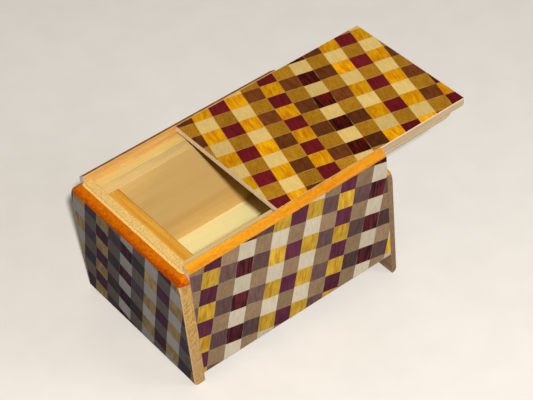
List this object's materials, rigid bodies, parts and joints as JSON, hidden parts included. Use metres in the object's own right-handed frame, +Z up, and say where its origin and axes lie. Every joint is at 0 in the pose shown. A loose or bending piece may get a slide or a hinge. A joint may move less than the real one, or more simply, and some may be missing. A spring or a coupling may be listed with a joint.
{
  "type": "japanese puzzle box",
  "caption": "Wooden japanese puzzle box with a mosaic check veneer; end panels drop on hidden keys and free a lid that slides in grooves under the rim.",
  "frame": {"origin": "middle of the underside of the carcass, on the bottom veneer", "axes": "+X the way the lid slides open, -Y the long front panel, +Z up through the lid"},
  "size_m": [0.1707, 0.0866, 0.079],
  "materials": {
    "veneer": "thin sheet planed from a glued block of coloured woods, clear satin lacquer",
    "outer_board": "planed pale wood, bevelled upper edge stained orange and lacquered",
    "end_board": "planed wood with pored end grain at the front, bevelled upper edge stained orange",
    "rail": "planed golden wood, bare",
    "inner_wall": "pored end grain on top, bare",
    "side_lining": "planed tan wood, bare",
    "end_lining": "planed orange-brown wood, bare",
    "floor": "planed pale yellow wood, bare",
    "key": "planed hardwood, waxed",
    "cleat": "planed bamboo, waxed",
    "lid_wood": "planed pale pinkish wood, bare"
  },
  "bodies": {
    "carcass": {"front_board": "outer_board", "back_board": "outer_board", "front_veneer": "veneer", "back_veneer": "veneer", "front_rail": "rail", "back_rail": "rail", "left_inner_wall": "inner_wall", "right_inner_wall": "inner_wall", "front_lining": "side_lining", "back_lining": "side_lining", "left_lining": "end_lining", "right_lining": "end_lining", "floor_board": "floor", "bottom_board": "rail", "bottom_veneer": "veneer"},
    "left_end": {"left_end_board": "end_board", "left_end_veneer": "veneer", "left_key_front": "key", "left_key_back": "key"},
    "right_end": {"right_end_board": "end_board", "right_end_veneer": "veneer", "right_key_front": "key", "right_key_back": "key", "right_end_cleat": "cleat"},
    "lid": {"lid_board": "lid_wood", "lid_veneer": "veneer", "lid_tongue": "lid_wood"}
  },
  "joints": [
    {"name": "lid_slide", "type": "slide", "parent": "carcass", "child": "lid", "axis": [1, 0, 0], "range_m": [-0.0522, 0.035]},
    {"name": "left_end_slide", "type": "slide", "parent": "carcass", "child": "left_end", "axis": [0, 0, 1], "range_m": [0, 0.0042]},
    {"name": "right_end_slide", "type": "slide", "parent": "carcass", "child": "right_end", "axis": [0, 0, 1], "range_m": [0, 0.0059]}
  ]
}
